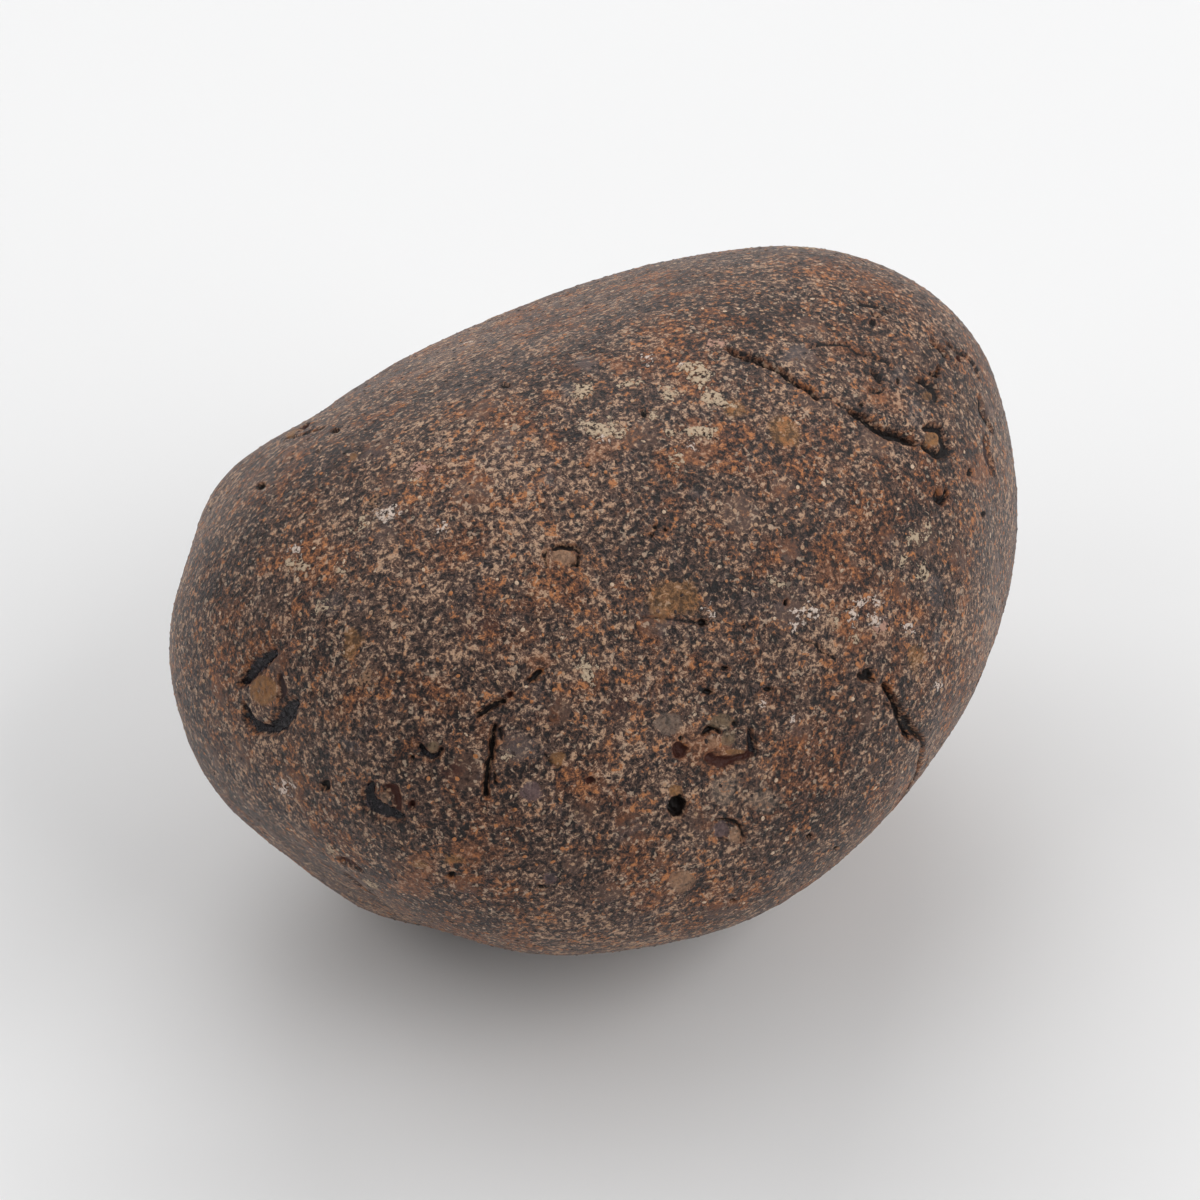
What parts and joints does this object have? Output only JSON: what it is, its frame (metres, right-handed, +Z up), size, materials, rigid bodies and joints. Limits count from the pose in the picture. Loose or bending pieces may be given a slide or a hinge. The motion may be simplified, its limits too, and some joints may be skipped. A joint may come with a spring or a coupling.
{
  "type": "stony meteorite",
  "caption": "Egg-shaped, wind-worn stony meteorite with pits, round grains and short cracks, resting on a small flat spot.",
  "frame": {"origin": "centre of the stone's bounding box in X and Y, at the height of the flat spot it rests on", "axes": "+Z up from the flat spot, +X along the stone from its narrow end to its blunt end, +Y across the stone, away from the side that faces the picture's camera"},
  "size_m": [0.0378, 0.03, 0.0267],
  "materials": {
    "stone": "satin"
  },
  "bodies": {
    "root": {"meteorite": "stone"}
  },
  "joints": []
}
